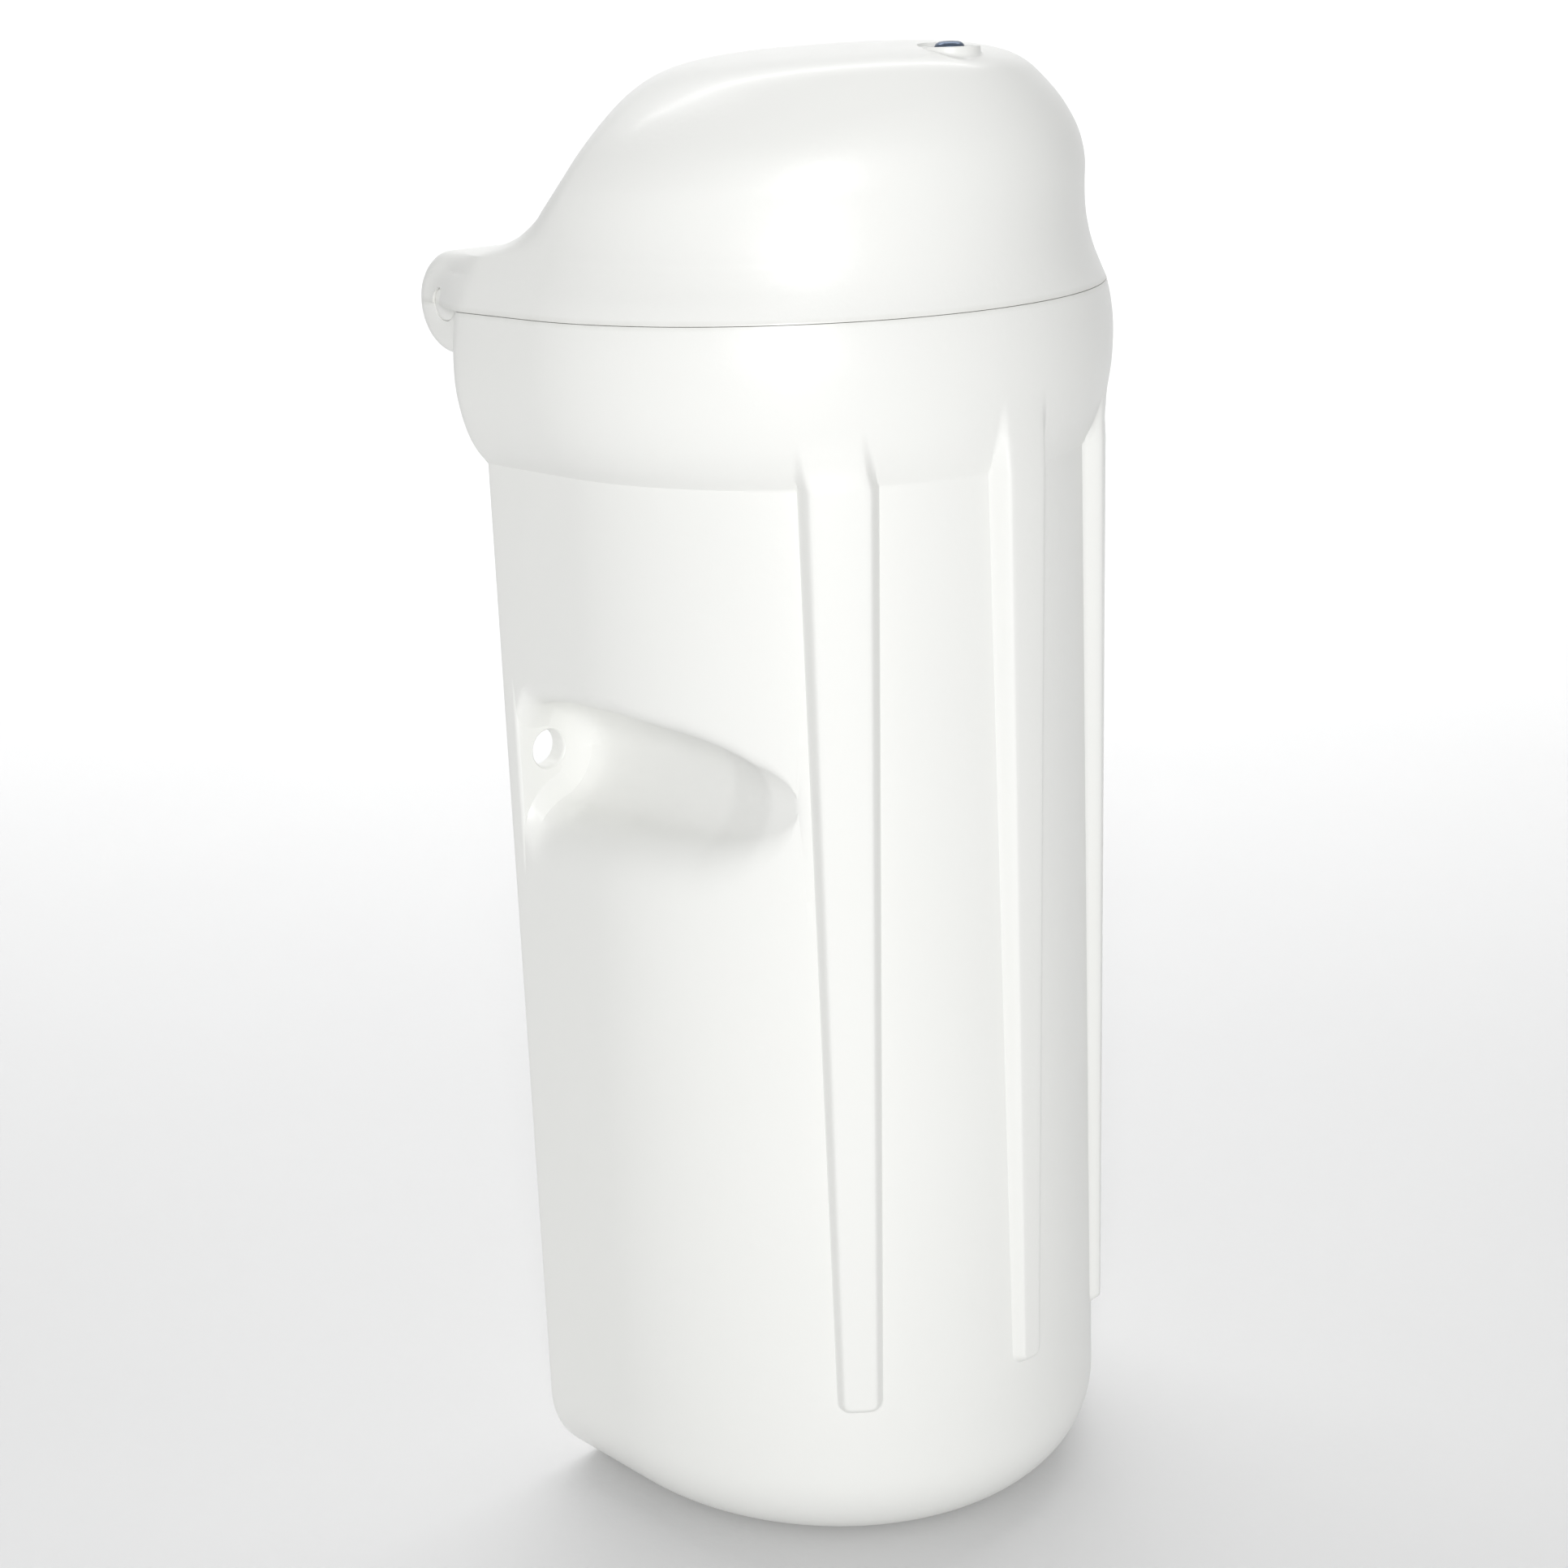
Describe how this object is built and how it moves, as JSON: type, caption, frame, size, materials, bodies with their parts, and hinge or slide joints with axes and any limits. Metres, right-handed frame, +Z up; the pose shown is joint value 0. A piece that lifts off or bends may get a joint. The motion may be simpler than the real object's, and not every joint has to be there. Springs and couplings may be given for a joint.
{
  "type": "fire blanket canister",
  "caption": "Wall-hung D-section plastic canister with a hinged domed lid, screwdriver channels at the sides and a folded fire blanket inside.",
  "frame": {"origin": "on the flat underside, on the centre line of the rounded front", "axes": "+Z up, front towards -Y, +Y out of the flat back, X across"},
  "size_m": [0.1664, 0.1449, 0.3851],
  "materials": {
    "shell": "glossy off-white moulding with a faint green cast, small mould specks",
    "steel": "zinc plated, satin",
    "blued_steel": "dark blue-grey steel, satin",
    "spring_steel": "bright rolled strip",
    "seal_rubber": "matt black",
    "glass_cloth": "woven glass cloth, off-white, silky",
    "webbing": "black woven tape"
  },
  "bodies": {
    "canister": {"canister_body": "shell", "rim_gasket": "seal_rubber", "hinge_pin": "steel", "catch_keeper": "spring_steel", "keeper_rivet_left": "steel", "keeper_rivet_right": "steel"},
    "lid": {"lid_shell": "shell", "pin_cap_left": "shell", "pin_cap_right": "shell", "lid_bolt": "blued_steel", "bolt_washer_outer": "steel", "bolt_sleeve": "steel", "bolt_washer_inner": "steel", "bolt_nut": "steel", "catch_spring": "spring_steel"},
    "blanket": {"fire_blanket": "glass_cloth", "pull_tape_left": "webbing", "pull_tape_right": "webbing", "tape_patch_left": "glass_cloth", "tape_patch_right": "glass_cloth"}
  },
  "joints": [
    {"name": "lid_hinge", "type": "hinge", "parent": "canister", "child": "lid", "pos_m": [0, 0.0475, 0.325], "axis": [-1, 0, 0], "range_deg": [0, 110]},
    {"name": "blanket_lift", "type": "slide", "parent": "canister", "child": "blanket", "axis": [0, 0, 1], "range_m": [0, 0.04]}
  ]
}
